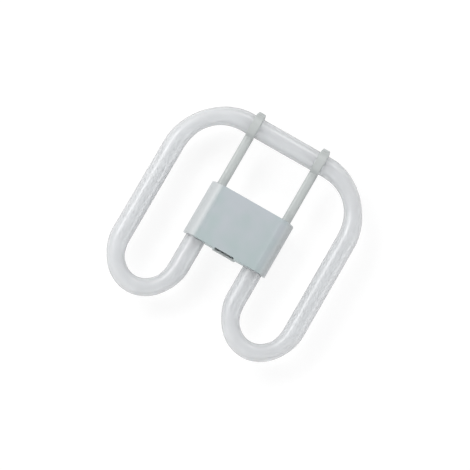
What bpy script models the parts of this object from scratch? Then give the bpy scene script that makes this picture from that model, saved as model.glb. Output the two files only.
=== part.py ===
"""Square compact fluorescent lamp: a flat double loop of coated glass tube in a moulded two-pin cap.

The frame is metres with +X across the lamp, +Y towards the two support arms and +Z out of the
lighting side. The origin is the middle of the cap's rear face, on the blade between the pins,
and the lamp lies on that face.
"""

import math

import bmesh
import bpy
import numpy as np
from mathutils import Vector

# Overall sizes
LAMP_WIDTH = 0.138
TUBE_HEIGHT = 0.138
LAMP_DEPTH = 0.0275

# Discharge tube
TUBE_RADIUS = 0.0066
BEND_RADIUS = 0.0057
LEG_SPACING = 0.0413
CORNER_REACH_X = 0.0336
CORNER_REACH_Y = 0.0359
RETURN_BEND_DEPTH = 0.0248
CORNER_BLEND = 0.44
RETURN_BLEND = 0.22
END_SETBACK = 0.0097
SHOULDER_LENGTH = 0.008
TIP_RADIUS = 0.003
CORNER_STEPS = 12
RETURN_STEPS = 24
SHOULDER_STEPS = 5
COLLAR_SKIP_STEPS = 2

# Cap mouldings
CAP_HEIGHT = 0.0374
SLEEVE_WALL = 0.0019
WALL = 0.0016
BODY_INSET = 0.0014
RIM_ROUNDING = 0.0007
PANEL_WIDTH = 0.039
PANEL_RECESS = 0.0005
GALLERY_START = 0.0006
GALLERY_WALL = 0.0021
PARTITION = 0.0012
TAB_THICKNESS = 0.0013
TAB_RISE = 0.0018

# Latch pocket in the lower wall, and the lip in front of its well
LATCH_WIDTH = 0.0136
LATCH_DEPTH = 0.007
LATCH_FRONT_WALL = 0.0012
LATCH_NOTCH = 0.0007
LIP_REACH = 0.0007
LIP_THICKNESS = 0.0013
LIP_DEPTH = 0.0013

# Plug at the rear of the cap
PLUG_SIDE_MARGIN = 0.00365
PLUG_END_MARGIN = 0.0018
PLUG_CORNER = 0.003
PLUG_WALL = 0.0022
PIN_PLATE = 0.0025
KEY_WIDTH = 0.003
KEY_REACH = 0.0014
DIVIDER_WIDTH = 0.0028
DIVIDER_LENGTH = 0.013

# Contact pins
PIN_SPACING = 0.008
PIN_RADIUS = 0.0012
PIN_SETBACK = 0.002
PIN_HEAD_RADIUS = 0.002
PIN_HEAD_HEIGHT = 0.001
PIN_COUNTERBORE = 0.0004

# Support arms with their tube clips
ARM_OFFSET = 0.00275
ARM_WIDTH = 0.006
ARM_DEPTH = 0.0046
ARM_ROUNDING = 0.002
FOOT_WIDTH = 0.0098
FOOT_DEPTH = 0.0078
FOOT_THICKNESS = 0.0024
CLIP_WIDTH = 0.0058
CLIP_THICKNESS = 0.0014
CLIP_WRAP = 20.0
PEG_WIDTH = 0.005
PEG_RISE = 0.003
PEG_DEPTH = 0.0042

# Starting gear inside the cap
STARTER_RADIUS = 0.0037
STARTER_END_ROOM = 0.00355
LEAD_LANE = 0.0025
STARTER_RISE = 0.007
CAPACITOR_RADIUS = 0.0028
CAPACITOR_LENGTH = 0.012
CAPACITOR_GAP = 0.0004
CAPACITOR_RISE = 0.0055
WIRE_RADIUS = 0.00035
STUB_LENGTH = 0.002
STUB_SPACING = 0.003
CRADLE_INSET = 0.003
CRADLE_THICKNESS = 0.0012
CRADLE_HORN = 0.0006
CAPACITOR_CRADLE_INSET = 0.00225
LEAD_SPACING = 0.0026

# Clearance between pieces that touch, and how far a cutter runs past what it cuts
SEAT_GAP = 0.0003
OVERRUN = 0.004
ROUND_SIDES = 40
SMALL_SIDES = 16

# Places that follow from the sizes above
LEG_X = LEG_SPACING / 2
OUTER_LEG_X = LAMP_WIDTH / 2 - TUBE_RADIUS
TOP_RUN_Y = TUBE_HEIGHT / 2 - TUBE_RADIUS
RETURN_Y = -TUBE_HEIGHT / 2 + BEND_RADIUS + RETURN_BEND_DEPTH
SEAT_RADIUS = TUBE_RADIUS + SEAT_GAP
SLEEVE_RADIUS = SEAT_RADIUS + SLEEVE_WALL
TUBE_Z = LAMP_DEPTH - SLEEVE_RADIUS
CAP_TOP = CAP_HEIGHT / 2
TUBE_TIP_Y = CAP_TOP - END_SETBACK
BODY_TOP = CAP_TOP - BODY_INSET
COVER_PARTING_Z = TUBE_Z + SEAT_GAP / 2
BODY_PARTING_Z = TUBE_Z - SEAT_GAP / 2
WEB_Z = TUBE_Z - SLEEVE_RADIUS
FLOOR_Z = WEB_Z + WALL
RECESS_DEPTH = FLOOR_Z - PIN_PLATE
COVER_INNER_Z = LAMP_DEPTH - PANEL_RECESS - WALL
CAVITY_TOP = BODY_TOP - WALL
CAVITY_HALF_WIDTH = LEG_X - SEAT_RADIUS - PARTITION
TAB_WIDTH = CAVITY_HALF_WIDTH - LATCH_WIDTH / 2 - PARTITION - 2 * SEAT_GAP
ARM_X = LEG_X + ARM_OFFSET
CLIP_INNER = SEAT_RADIUS
CLIP_OUTER = CLIP_INNER + CLIP_THICKNESS
ARM_END_Y = TOP_RUN_Y - CLIP_INNER - CLIP_THICKNESS / 2
FOOT_TOP = CAVITY_TOP - SEAT_GAP
PLUG_WIDTH = LEG_SPACING - 2 * PLUG_SIDE_MARGIN
PLUG_HEIGHT = 2 * (BODY_TOP - PLUG_END_MARGIN)
POCKET_TOP = -CAP_TOP + LATCH_DEPTH + PARTITION
STARTER_REACH = STARTER_RADIUS + SEAT_GAP + CRADLE_HORN
STARTER_LENGTH = 2 * (CAVITY_HALF_WIDTH - STARTER_END_ROOM)
STARTER_Y = CAVITY_TOP - SEAT_GAP - TAB_THICKNESS - LEAD_LANE - STARTER_REACH
STARTER_Z = FLOOR_Z + STARTER_RISE
CAPACITOR_REACH = CAPACITOR_RADIUS + SEAT_GAP + CRADLE_HORN
CAPACITOR_Y = POCKET_TOP + CAPACITOR_GAP + CAPACITOR_REACH
CAPACITOR_Z = FLOOR_Z + CAPACITOR_RISE
LATCH_FRONT_Z = LAMP_DEPTH - PANEL_RECESS - LATCH_FRONT_WALL
PIN_HEAD_Z = FLOOR_Z - PIN_COUNTERBORE + SEAT_GAP

ALONG_Y = (math.radians(90), 0, 0)
ALONG_X = (0, math.radians(90), 0)
SECTION_YZ = (math.radians(90), 0, math.radians(90))


def clear_scene():
    """Remove every object that the scene starts with."""
    for obj in list(bpy.data.objects):
        bpy.data.objects.remove(obj, do_unlink=True)


def make_collection(name):
    """Add a collection to the scene."""
    collection = bpy.data.collections.new(name)
    bpy.context.scene.collection.children.link(collection)
    return collection


def make_material(name, color, roughness, metallic=0.0):
    """Make a plain Principled material."""
    material = bpy.data.materials.new(name)
    material.use_nodes = True
    shader = material.node_tree.nodes["Principled BSDF"]
    shader.inputs["Base Color"].default_value = (*color, 1.0)
    shader.inputs["Roughness"].default_value = roughness
    shader.inputs["Metallic"].default_value = metallic
    material.diffuse_color = (*color, 1.0)
    return material


def place(name, data, collection, location=(0, 0, 0), rotation=(0, 0, 0)):
    """Put a mesh or curve into a collection as a named object."""
    obj = bpy.data.objects.new(name, data)
    obj.location = location
    obj.rotation_euler = rotation
    collection.objects.link(obj)
    if collection is CUTTERS:
        obj.hide_render = True
        obj.display_type = "WIRE"
    return obj


def box(name, collection, low, high):
    """Make a box from its lowest and highest corners."""
    low = Vector(low)
    high = Vector(high)
    bm = bmesh.new()
    bmesh.ops.create_cube(bm, size=1)
    bmesh.ops.scale(bm, vec=high - low, verts=bm.verts)
    mesh = bpy.data.meshes.new(name)
    bm.to_mesh(mesh)
    bm.free()
    return place(name, mesh, collection, (low + high) / 2)


def cylinder(name, collection, radius, low, high, rotation, sides=ROUND_SIDES):
    """Make a round bar between the centres of its two ends."""
    low = Vector(low)
    high = Vector(high)
    bm = bmesh.new()
    bmesh.ops.create_cone(bm, cap_ends=True, segments=sides, radius1=radius, radius2=radius,
                          depth=(high - low).length)
    mesh = bpy.data.meshes.new(name)
    bm.to_mesh(mesh)
    bm.free()
    return place(name, mesh, collection, (low + high) / 2, rotation)


def as_mesh(curve_object, name, collection):
    """Turn a curve object into a welded mesh object in the same place."""
    bpy.context.view_layer.update()
    evaluated = curve_object.evaluated_get(bpy.context.evaluated_depsgraph_get())
    mesh = bpy.data.meshes.new_from_object(evaluated)
    mesh.name = name
    bm = bmesh.new()
    bm.from_mesh(mesh)
    bmesh.ops.remove_doubles(bm, verts=bm.verts, dist=0.000001)
    bm.to_mesh(mesh)
    bm.free()
    matrix = curve_object.matrix_world.copy()
    bpy.data.objects.remove(curve_object, do_unlink=True)
    obj = place(name, mesh, collection)
    obj.matrix_world = matrix
    return obj


def outline(name, collection, points, thickness, location=(0, 0, 0), rotation=(0, 0, 0)):
    """Extrude a closed flat outline by a thickness, half to each side of its plane."""
    curve = bpy.data.curves.new(name, "CURVE")
    curve.dimensions = "2D"
    curve.fill_mode = "BOTH"
    curve.extrude = thickness / 2
    spline = curve.splines.new("POLY")
    spline.points.add(len(points) - 1)
    for point, (x, y) in zip(spline.points, points):
        point.co = (x, y, 0, 1)
    spline.use_cyclic_u = True
    flat = place(name + "_outline", curve, collection, location, rotation)
    return as_mesh(flat, name, collection)


def arc(centre, radius, start, end, steps):
    """Give points on an arc, with both ends, from angles in degrees."""
    angles = np.radians(np.linspace(start, end, steps + 1))
    return [(centre[0] + radius * math.cos(a), centre[1] + radius * math.sin(a)) for a in angles]


def stadium(half_length, radius, steps):
    """Give the outline of a flat bar with round ends, centred on the origin."""
    return (arc((half_length, 0), radius, -90, 90, steps)
            + arc((-half_length, 0), radius, 90, 270, steps))


def rounded_rectangle(width, height, radius, steps=4):
    """Give a rectangle's outline with rounded corners, centred on the origin."""
    x = width / 2 - radius
    y = height / 2 - radius
    return (arc((x, y), radius, 0, 90, steps) + arc((-x, y), radius, 90, 180, steps)
            + arc((-x, -y), radius, 180, 270, steps) + arc((x, -y), radius, 270, 360, steps))


def turned(name, collection, profile, location, rotation, sides):
    """Revolve a profile of radius and height, listed down its outer side from top to bottom."""
    mesh = bpy.data.meshes.new(name)
    vertices = [(radius, 0, height) for radius, height in profile]
    mesh.from_pydata(vertices, [(i, i + 1) for i in range(len(vertices) - 1)], [])
    obj = place(name, mesh, collection, location, rotation)
    screw = obj.modifiers.new("Turn", "SCREW")
    screw.steps = sides
    screw.render_steps = sides
    screw.use_merge_vertices = True
    screw.merge_threshold = 0.000005
    screw.use_smooth_shade = True
    return obj


def closed_ring(profile):
    """Repeat a profile's first point so that a turned ring closes on itself."""
    return profile + profile[:1]


def boolean(target, tool, operation):
    """Cut a tool out of a target, or join it on."""
    modifier = target.modifiers.new(tool.name, "BOOLEAN")
    modifier.operation = operation
    modifier.solver = "EXACT"
    modifier.object = tool


def cut(target, *tools):
    """Take each tool's volume out of a target."""
    for tool in tools:
        boolean(target, tool, "DIFFERENCE")


def join(target, *tools):
    """Add each tool's volume to a target."""
    for tool in tools:
        boolean(target, tool, "UNION")


def round_edges(obj, width, segments=2):
    """Round the sharp edges of an object."""
    bevel = obj.modifiers.new("Rounding", "BEVEL")
    bevel.width = width
    bevel.segments = segments
    bevel.limit_method = "ANGLE"
    bevel.angle_limit = math.radians(40)


def smooth_bars(obj, angle=35):
    """Shade a mesh smooth apart from its sharp edges."""
    obj.data.shade_smooth()
    obj.data.set_sharp_from_angle(angle=math.radians(angle))


def ease(t):
    """Blend from 0 to 1 with level ends."""
    t = min(max(t, 0.0), 1.0)
    return t * t * (3 - 2 * t)


def bend(centre, reach_x, reach_y, start, end, steps, blend):
    """Give points and radii round an elliptical bend, whose tube is drawn thinner in the middle."""
    points = []
    for i in range(steps + 1):
        u = i / steps
        angle = math.radians(start + (end - start) * u)
        thin = ease(min(u, 1 - u) / blend)
        radius = TUBE_RADIUS + (BEND_RADIUS - TUBE_RADIUS) * thin
        points.append((centre[0] + reach_x * math.cos(angle), centre[1] + reach_y * math.sin(angle), radius))
    return points


def shoulder(clearance=0.0, first=0, steps=SHOULDER_STEPS):
    """Give heights and radii up the tube's rounded end, grown by a clearance."""
    points = []
    for i in range(first, steps + 1):
        t = math.radians(90) * i / steps
        height = TUBE_TIP_Y - SHOULDER_LENGTH * (1 - math.sin(t))
        radius = TIP_RADIUS + (TUBE_RADIUS - TIP_RADIUS) * math.cos(t)
        points.append((height, radius + clearance))
    return points


def tube_path():
    """Give the tube's centre line as x, y and radius, from the left end round to the right end."""
    half_bend = (OUTER_LEG_X - LEG_X) / 2
    bend_x = LEG_X + half_bend
    corner_x = OUTER_LEG_X - CORNER_REACH_X
    corner_y = TOP_RUN_Y - CORNER_REACH_Y
    right = bend((corner_x, corner_y), CORNER_REACH_X, CORNER_REACH_Y, 90, 0, CORNER_STEPS, CORNER_BLEND)
    right += bend((bend_x, RETURN_Y), half_bend, RETURN_BEND_DEPTH, 0, -180, RETURN_STEPS, RETURN_BLEND)
    right += [(LEG_X, height, radius) for height, radius in shoulder()]
    left = [(-x, y, radius) for x, y, radius in reversed(right)]
    return left + right


def build_tube(material):
    """Bend the glass tube: a curve with its own radius at each point and closed ends."""
    curve = bpy.data.curves.new("discharge_tube", "CURVE")
    curve.dimensions = "3D"
    curve.twist_mode = "Z_UP"
    curve.bevel_depth = 1.0
    curve.bevel_resolution = 10
    curve.use_fill_caps = True
    path = tube_path()
    spline = curve.splines.new("POLY")
    spline.points.add(len(path) - 1)
    for point, (x, y, radius) in zip(spline.points, path):
        point.co = (x, y, TUBE_Z, 1)
        point.radius = radius
    spline.use_smooth = True
    curve.materials.append(material)
    return place("discharge_tube", curve, PARTS)


def build_cement(material):
    """Turn the ring of capping cement that sits round each rounded end of the tube."""
    inner = shoulder(SEAT_GAP, first=COLLAR_SKIP_STEPS)
    top = TUBE_TIP_Y + SEAT_GAP
    inner[-1] = (top, inner[-1][1])
    for side, name in ((-1, "cement_collar_left"), (1, "cement_collar_right")):
        profile = [(TUBE_RADIUS, top), (TUBE_RADIUS, inner[0][0])]
        profile += [(radius, height) for height, radius in inner]
        ring = turned(name, PARTS, closed_ring(profile), (side * LEG_X, 0, TUBE_Z),
                      (math.radians(-90), 0, 0), ROUND_SIDES)
        ring.data.materials.append(material)


def cap_cutters():
    """Make the hollows that the two cap mouldings share, so that both fit the same pieces."""
    hollows = [box("cavity_cutter", CUTTERS, (-CAVITY_HALF_WIDTH, -CAVITY_TOP, FLOOR_Z),
                   (CAVITY_HALF_WIDTH, CAVITY_TOP, COVER_INNER_Z))]
    for side, name in ((-1, "left"), (1, "right")):
        hollows.append(cylinder("seat_cutter_" + name, CUTTERS, SEAT_RADIUS,
                                (side * LEG_X, -CAP_TOP - OVERRUN, TUBE_Z),
                                (side * LEG_X, CAVITY_TOP, TUBE_Z), ALONG_Y))
        low_x = side * ARM_X - ARM_WIDTH / 2 - SEAT_GAP
        hollows.append(box("arm_slot_cutter_" + name, CUTTERS,
                           (low_x, CAVITY_TOP - FOOT_THICKNESS, TUBE_Z - ARM_DEPTH / 2 - SEAT_GAP),
                           (low_x + ARM_WIDTH + 2 * SEAT_GAP, CAP_TOP + OVERRUN,
                            TUBE_Z + ARM_DEPTH / 2 + SEAT_GAP)))
    rise = SEAT_RADIUS - PARTITION / 2
    hollows.append(box("gallery_cutter", CUTTERS, (-LEG_X, TUBE_TIP_Y + GALLERY_START, TUBE_Z - rise),
                       (LEG_X, BODY_TOP - GALLERY_WALL, TUBE_Z + rise)))
    return hollows


def latch_section():
    """Give the latch pocket's outline as y and z: open below, with a shallow notch up through the panel."""
    low = (-CAP_TOP - OVERRUN, TUBE_Z - OVERRUN)
    high = (-CAP_TOP + LATCH_NOTCH, LAMP_DEPTH + OVERRUN)
    back = POCKET_TOP - PARTITION
    return [low, (back, low[1]), (back, LATCH_FRONT_Z), (high[0], LATCH_FRONT_Z), high, (low[0], high[1])]


def well_sections():
    """Give the outer and inner outlines of the latch well as y and z: a short lip over a sloping wall."""
    lip = -CAP_TOP - LIP_REACH
    knee = BODY_PARTING_Z - LIP_DEPTH
    bottom = FLOOR_Z - PARTITION
    back = POCKET_TOP - PARTITION
    outer = [(POCKET_TOP, BODY_PARTING_Z), (lip, BODY_PARTING_Z), (lip, knee),
             (WALL / 2 - BODY_TOP, bottom), (POCKET_TOP, bottom)]
    inner = [(back, BODY_PARTING_Z + OVERRUN), (lip + LIP_THICKNESS, BODY_PARTING_Z + OVERRUN),
             (lip + LIP_THICKNESS, knee), (WALL - BODY_TOP, FLOOR_Z), (back, FLOOR_Z)]
    return outer, inner


def build_cover(material, hollows):
    """Mould the front cover: a flat panel between two half sleeves, with the latch pocket."""
    cover = outline("cap_cover", PARTS, stadium(LEG_X, SLEEVE_RADIUS, ROUND_SIDES // 2), CAP_HEIGHT,
                    (0, 0, TUBE_Z), ALONG_Y)
    smooth_bars(cover)
    round_edges(cover, RIM_ROUNDING)
    width = LEG_X + SLEEVE_RADIUS + OVERRUN
    cut(cover, box("cover_parting_cutter", CUTTERS, (-width, -CAP_TOP - OVERRUN, -OVERRUN),
                   (width, CAP_TOP + OVERRUN, COVER_PARTING_Z)))
    cut(cover, *hollows)
    cut(cover, box("panel_cutter", CUTTERS, (-PANEL_WIDTH / 2, -CAP_TOP - OVERRUN, LAMP_DEPTH - PANEL_RECESS),
                   (PANEL_WIDTH / 2, CAP_TOP + OVERRUN, LAMP_DEPTH + OVERRUN)))
    half = LATCH_WIDTH / 2
    join(cover, box("latch_pocket", CUTTERS, (-half - PARTITION, -CAVITY_TOP - WALL / 2, COVER_PARTING_Z),
                    (half + PARTITION, POCKET_TOP, COVER_INNER_Z + WALL / 2)))
    cut(cover, outline("latch_cutter", CUTTERS, latch_section(), LATCH_WIDTH, rotation=SECTION_YZ))
    cover.data.materials.append(material)
    return cover


def locating_tabs():
    """Make the tabs on the rear moulding that stand inside the cover's walls and locate it."""
    tabs = []
    outer = CAVITY_TOP - SEAT_GAP
    tab_x = CAVITY_HALF_WIDTH - SEAT_GAP - TAB_WIDTH / 2
    for side, end in ((1, "right"), (-1, "left")):
        for edge, wall in ((1, "upper"), (-1, "lower")):
            name = "tab_{}_{}".format(wall, end)
            low = (side * tab_x - TAB_WIDTH / 2, edge * outer, BODY_PARTING_Z - TAB_RISE)
            high = (side * tab_x + TAB_WIDTH / 2, edge * (outer - TAB_THICKNESS), TUBE_Z + TAB_RISE)
            tabs.append(sorted_box(name, low, high))
            root_low = (low[0], edge * (CAVITY_TOP + WALL / 2), low[2])
            root_high = (high[0], edge * (outer - TAB_THICKNESS), BODY_PARTING_Z - SEAT_GAP)
            tabs.append(sorted_box(name + "_root", root_low, root_high))
    return tabs


def sorted_box(name, corner_a, corner_b):
    """Make a cutter box from any two opposite corners."""
    low = [min(a, b) for a, b in zip(corner_a, corner_b)]
    high = [max(a, b) for a, b in zip(corner_a, corner_b)]
    return box(name, CUTTERS, low, high)


def cradles():
    """Make the ribs that stand on the cap's floor under the starter and the capacitor."""
    ribs = []
    holders = (("starter", STARTER_Y, STARTER_REACH, STARTER_Z - STARTER_RADIUS / 2,
                STARTER_LENGTH / 2 - CRADLE_INSET),
               ("capacitor", CAPACITOR_Y, CAPACITOR_REACH, CAPACITOR_Z - CAPACITOR_RADIUS / 2,
                CAPACITOR_LENGTH / 2 - CAPACITOR_CRADLE_INSET))
    for name, y, reach, top, offset in holders:
        for side, end in ((-1, "left"), (1, "right")):
            x = side * offset
            ribs.append(box("{}_rib_{}".format(name, end), CUTTERS,
                            (x - CRADLE_THICKNESS / 2, y - reach, FLOOR_Z - WALL / 2),
                            (x + CRADLE_THICKNESS / 2, y + reach, top)))
    return ribs


def cradle_notches():
    """Make the round notches that the starter and the capacitor lie in."""
    reach = STARTER_LENGTH / 2 - CRADLE_INSET + CRADLE_THICKNESS
    return [cylinder("starter_notch", CUTTERS, STARTER_RADIUS + SEAT_GAP, (-reach, STARTER_Y, STARTER_Z),
                     (reach, STARTER_Y, STARTER_Z), ALONG_X, 24),
            cylinder("capacitor_notch", CUTTERS, CAPACITOR_RADIUS + SEAT_GAP,
                     (-reach, CAPACITOR_Y, CAPACITOR_Z), (reach, CAPACITOR_Y, CAPACITOR_Z), ALONG_X, 24)]


def build_body(material, hollows):
    """Mould the rear body: half sleeves, the plug with its pin recess, latch well and cradles."""
    body = outline("cap_body", PARTS, stadium(LEG_X, SLEEVE_RADIUS, ROUND_SIDES // 2), 2 * BODY_TOP,
                   (0, 0, TUBE_Z), ALONG_Y)
    smooth_bars(body)
    round_edges(body, RIM_ROUNDING)
    width = LEG_X + SLEEVE_RADIUS + OVERRUN
    cut(body, box("body_parting_cutter", CUTTERS, (-width, -CAP_TOP - OVERRUN, BODY_PARTING_Z),
                  (width, CAP_TOP + OVERRUN, LAMP_DEPTH + OVERRUN)))
    plug_top = WEB_Z + WALL / 2
    plug = outline("plug", CUTTERS, rounded_rectangle(PLUG_WIDTH, PLUG_HEIGHT, PLUG_CORNER),
                   plug_top, (0, 0, plug_top / 2))
    join(body, plug)
    cut(body, *hollows)
    recess_depth = RECESS_DEPTH + OVERRUN
    recess = outline("recess_cutter", CUTTERS,
                     rounded_rectangle(PLUG_WIDTH - 2 * PLUG_WALL, PLUG_HEIGHT - 2 * PLUG_WALL,
                                       PLUG_CORNER - PLUG_WALL / 2),
                     recess_depth, (0, 0, RECESS_DEPTH - recess_depth / 2))
    cut(body, recess)
    inner = PLUG_HEIGHT / 2 - PLUG_WALL
    for edge, wall in ((1, "upper"), (-1, "lower")):
        join(body, sorted_box("key_rib_" + wall, (-KEY_WIDTH / 2, edge * (inner + PLUG_WALL / 2), KEY_REACH),
                              (KEY_WIDTH / 2, edge * (inner - KEY_REACH), RECESS_DEPTH + KEY_REACH)))
    join(body, box("pin_divider", CUTTERS, (-DIVIDER_WIDTH / 2, -DIVIDER_LENGTH / 2, 0),
                   (DIVIDER_WIDTH / 2, DIVIDER_LENGTH / 2, RECESS_DEPTH + KEY_REACH)))
    well_outer, well_inner = well_sections()
    join(body, outline("latch_well_wall", CUTTERS, well_outer, LATCH_WIDTH + 2 * PARTITION,
                       rotation=SECTION_YZ))
    cut(body, outline("latch_well", CUTTERS, well_inner, LATCH_WIDTH, rotation=SECTION_YZ))
    join(body, *locating_tabs())
    join(body, *cradles())
    cut(body, *cradle_notches())
    for side, end in ((-1, "left"), (1, "right")):
        x = side * PIN_SPACING / 2
        cut(body, cylinder("pin_hole_" + end, CUTTERS, PIN_RADIUS + SEAT_GAP, (x, 0, RECESS_DEPTH - WALL),
                           (x, 0, FLOOR_Z + WALL), (0, 0, 0), SMALL_SIDES),
            cylinder("pin_well_" + end, CUTTERS, PIN_HEAD_RADIUS + SEAT_GAP,
                     (x, 0, FLOOR_Z - PIN_COUNTERBORE), (x, 0, STARTER_Z), (0, 0, 0), SMALL_SIDES))
    body.data.materials.append(material)
    return body


def build_pins(material):
    """Turn the two contact pins, each with a head inside the cap and a rounded tip."""
    tip = [(PIN_RADIUS * math.cos(a), PIN_SETBACK + PIN_RADIUS * (1 - math.sin(a)))
           for a in np.radians([0, 30, 60])]
    profile = [(0, PIN_HEAD_Z + PIN_HEAD_HEIGHT), (PIN_HEAD_RADIUS, PIN_HEAD_Z + PIN_HEAD_HEIGHT),
               (PIN_HEAD_RADIUS, PIN_HEAD_Z), (PIN_RADIUS, PIN_HEAD_Z)] + tip + [(0, PIN_SETBACK)]
    for side, name in ((-1, "contact_pin_left"), (1, "contact_pin_right")):
        pin = turned(name, PARTS, profile, (side * PIN_SPACING / 2, 0, 0), (0, 0, 0), SMALL_SIDES)
        pin.data.materials.append(material)


def clip_section():
    """Give the section of the clip that holds the tube, as height above and below the tube's plane."""
    outer = arc((0, 0), CLIP_OUTER, -CLIP_WRAP, 180 + CLIP_WRAP, ROUND_SIDES // 2)
    inner = arc((0, 0), CLIP_INNER, 180 + CLIP_WRAP, -CLIP_WRAP, ROUND_SIDES // 2)
    return outer + inner


def build_arms(material):
    """Mould the two support arms: foot, bar, tube clip and peg in one piece each."""
    start = FOOT_TOP - FOOT_THICKNESS / 2
    section = rounded_rectangle(ARM_WIDTH, ARM_DEPTH, ARM_ROUNDING)
    for side, end in ((-1, "left"), (1, "right")):
        x = side * ARM_X
        arm = outline("support_arm_" + end, PARTS, section, ARM_END_Y - start,
                      (x, (start + ARM_END_Y) / 2, TUBE_Z), ALONG_Y)
        smooth_bars(arm)
        foot = box("foot_" + end, CUTTERS,
                   (side * LEG_X - FOOT_WIDTH / 2, FOOT_TOP - FOOT_THICKNESS, TUBE_Z - FOOT_DEPTH / 2),
                   (side * LEG_X + FOOT_WIDTH / 2, FOOT_TOP, TUBE_Z + FOOT_DEPTH / 2))
        clip = outline("clip_" + end, CUTTERS, clip_section(), CLIP_WIDTH, (x, TOP_RUN_Y, TUBE_Z), SECTION_YZ)
        peg = box("peg_" + end, CUTTERS, (x - PEG_WIDTH / 2, TOP_RUN_Y + CLIP_INNER + CLIP_THICKNESS / 3,
                                          TUBE_Z - PEG_DEPTH / 2),
                  (x + PEG_WIDTH / 2, TUBE_HEIGHT / 2 + PEG_RISE, TUBE_Z + PEG_DEPTH / 2))
        join(arm, foot, clip, peg)
        arm.data.materials.append(material)


def smooth_route(corners, steps=4):
    """Give a smooth curve through a wire's own points, with a few steps to each stretch."""
    points = [np.array(corner, float) for corner in corners]
    padded = [2 * points[0] - points[1]] + points + [2 * points[-1] - points[-2]]
    route = []
    for a, b, c, d in zip(padded, padded[1:], padded[2:], padded[3:]):
        for i in range(steps):
            t = i / steps
            route.append(0.5 * (2 * b + (c - a) * t + (2 * a - 5 * b + 4 * c - d) * t * t
                                + (3 * b - a - 3 * c + d) * t ** 3))
    return route + [points[-1]]


def wire(name, collection, corners, material=None):
    """Lay a round wire along a smooth route."""
    curve = bpy.data.curves.new(name, "CURVE")
    curve.dimensions = "3D"
    curve.bevel_depth = WIRE_RADIUS
    curve.bevel_resolution = 2
    curve.use_fill_caps = True
    route = smooth_route(corners)
    spline = curve.splines.new("POLY")
    spline.points.add(len(route) - 1)
    for point, place_ in zip(spline.points, route):
        point.co = (*place_, 1)
    if material:
        curve.materials.append(material)
    return place(name, curve, collection)


def build_leads(material):
    """Lay the four lead wires: from each tube end, one to its pin and one to the starter."""
    tip = TUBE_TIP_Y + SEAT_GAP
    crossing_y = (tip + FOOT_TOP - FOOT_THICKNESS) / 2
    under_z = (PIN_HEAD_Z + PIN_HEAD_HEIGHT + STARTER_Z - STARTER_RADIUS) / 2
    starter_back = STARTER_Y + STARTER_REACH + LEAD_LANE / 2
    for side, end in ((-1, "left"), (1, "right")):
        inner_x = side * (LEG_X - LEAD_SPACING / 2)
        pin_x = side * PIN_SPACING / 2
        wire("lead_pin_" + end, PARTS,
             [(inner_x, tip, TUBE_Z), (inner_x, crossing_y, TUBE_Z),
              (side * CAVITY_HALF_WIDTH, starter_back, (TUBE_Z + under_z) / 2),
              (pin_x, starter_back, under_z), (pin_x, STARTER_Y, under_z),
              (pin_x, WIRE_RADIUS, under_z),
              (pin_x, 0, PIN_HEAD_Z + PIN_HEAD_HEIGHT + SEAT_GAP)], material)
    outer_x = LEG_X + LEAD_SPACING / 2
    joint_x = -STARTER_LENGTH / 2 - STUB_LENGTH - SEAT_GAP - WIRE_RADIUS
    low_z = STARTER_Z - STUB_SPACING / 2
    high_z = STARTER_Z + STUB_SPACING / 2
    clear_z = TUBE_Z - LEAD_SPACING
    wire("lead_starter_left", PARTS,
         [(-outer_x, tip, TUBE_Z), (-outer_x, crossing_y, clear_z),
          (TIP_RADIUS - LEG_X, crossing_y, clear_z), (joint_x, crossing_y, low_z),
          (joint_x, STARTER_Y, low_z)], material)
    over_z = STARTER_Z + STARTER_RADIUS + 2 * WIRE_RADIUS
    wire("lead_starter_right", PARTS,
         [(outer_x, tip, TUBE_Z), (outer_x, crossing_y, TUBE_Z + LEAD_SPACING),
          (CAVITY_HALF_WIDTH, crossing_y, over_z), (0, crossing_y, over_z),
          (joint_x + STARTER_RADIUS, crossing_y, over_z), (joint_x, crossing_y, high_z),
          (joint_x, STARTER_Y, high_z)], material)


def build_starter(material):
    """Make the glow starter: a small glass bottle with two wire stubs at its pressed end."""
    half = STARTER_LENGTH / 2
    neck = STARTER_RADIUS / 2
    profile = [(0, half)] + [(STARTER_RADIUS * math.sin(a), half - STARTER_RADIUS * (1 - math.cos(a)))
                             for a in np.radians([30, 60, 90])]
    profile += [(STARTER_RADIUS, STARTER_RADIUS - half), (neck, STUB_SPACING / 2 - half), (neck, -half),
                (0, -half)]
    starter = turned("starter_bottle", PARTS, profile, (0, STARTER_Y, STARTER_Z), ALONG_X, 24)
    for side, name in ((-1, "starter_stub_low"), (1, "starter_stub_high")):
        z = STARTER_Z + side * STUB_SPACING / 2
        join(starter, cylinder(name, CUTTERS, WIRE_RADIUS, (-half - STUB_LENGTH, STARTER_Y, z),
                               (STUB_LENGTH - half, STARTER_Y, z), ALONG_X, 8))
    starter.data.materials.append(material)


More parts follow.
